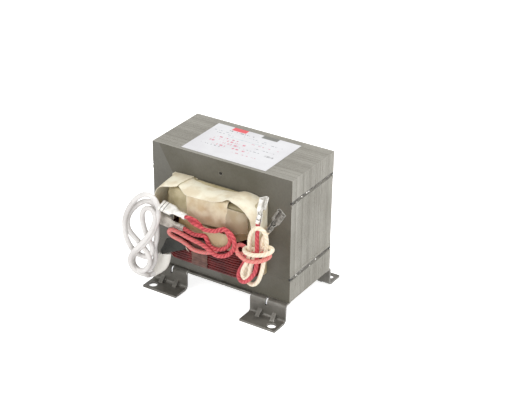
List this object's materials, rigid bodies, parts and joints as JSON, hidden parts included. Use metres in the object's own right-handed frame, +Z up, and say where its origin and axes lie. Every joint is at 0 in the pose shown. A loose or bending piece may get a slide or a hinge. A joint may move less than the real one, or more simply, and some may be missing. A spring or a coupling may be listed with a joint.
{
  "type": "microwave oven transformer",
  "caption": "Laminated-core power transformer on a steel plate with four feet, with bare windings, a paper cover and bundled leads with push-on terminals.",
  "frame": {"origin": "centre of the four foot holes, on the underside of the feet", "axes": "+Z up, +X to the right along the wide side of the core, -Y out of the side that the leads leave"},
  "size_m": [0.1231, 0.0995, 0.1012],
  "materials": {
    "cloth_tape": "brown-grey cloth tape, soaked in varnish",
    "cream_sleeve": "cream silicone sleeve",
    "dark_fish_paper": "dark grey insulating board",
    "enamelled_wire": "dark red enamelled round wire in horizontal turns",
    "filament_wire": "red insulated wire",
    "insulating_paper": "cream insulating paper with soft folds",
    "label_paper": "white self-adhesive label, bare of lettering",
    "lamination_steel": "varnished grey electrical steel with fine stack lines",
    "paper_tape": "cream insulating tape with tan varnish stains",
    "pink_braid": "faded red and pink glass braid",
    "red_braid": "red glass braid over silicone",
    "shunt_steel": "dark stacked steel strips",
    "strip_steel": "dark bare sheet steel, bright on the pressed edges",
    "tinned_terminal": "bright tinned brass",
    "weld_metal": "grey weld bead with dark heat tint",
    "white_boot": "milky white sleeve",
    "white_silicone": "satin white silicone sleeve"
  },
  "bodies": {
    "root": {"core_e_stack": "lamination_steel", "core_i_yoke": "lamination_steel", "weld_bead_upper_left": "weld_metal", "weld_bead_upper_right": "weld_metal", "weld_bead_lower_left": "weld_metal", "weld_bead_lower_right": "weld_metal", "mounting_plate": "strip_steel", "label_plate": "label_paper", "primary_winding": "enamelled_wire", "primary_tape_front": "cloth_tape", "primary_tape_rear": "cloth_tape", "secondary_winding": "paper_tape", "secondary_tape_front": "paper_tape", "secondary_tape_rear": "paper_tape", "paper_cover_front": "insulating_paper", "paper_cover_rear": "insulating_paper", "window_liner_left": "insulating_paper", "window_liner_right": "insulating_paper", "magnetic_shunt_left": "shunt_steel", "magnetic_shunt_right": "shunt_steel", "filament_winding": "filament_wire", "primary_flap": "dark_fish_paper", "hv_lead_exit": "white_silicone", "hv_lead_hank": "white_silicone", "hv_lead_boot": "white_boot", "filament_lead_a_run": "red_braid", "filament_lead_a_tail": "red_braid", "filament_terminal_a": "tinned_terminal", "filament_lead_b_exit": "red_braid", "filament_lead_b_tail": "red_braid", "filament_terminal_b": "tinned_terminal", "filament_lead_hank": "red_braid", "primary_lead_a_exit": "pink_braid", "primary_lead_a_tail": "pink_braid", "primary_terminal_a": "tinned_terminal", "primary_lead_b_exit": "cream_sleeve", "primary_lead_b_tail": "cream_sleeve", "primary_terminal_b": "tinned_terminal", "primary_lead_hank": "cream_sleeve"}
  },
  "joints": []
}
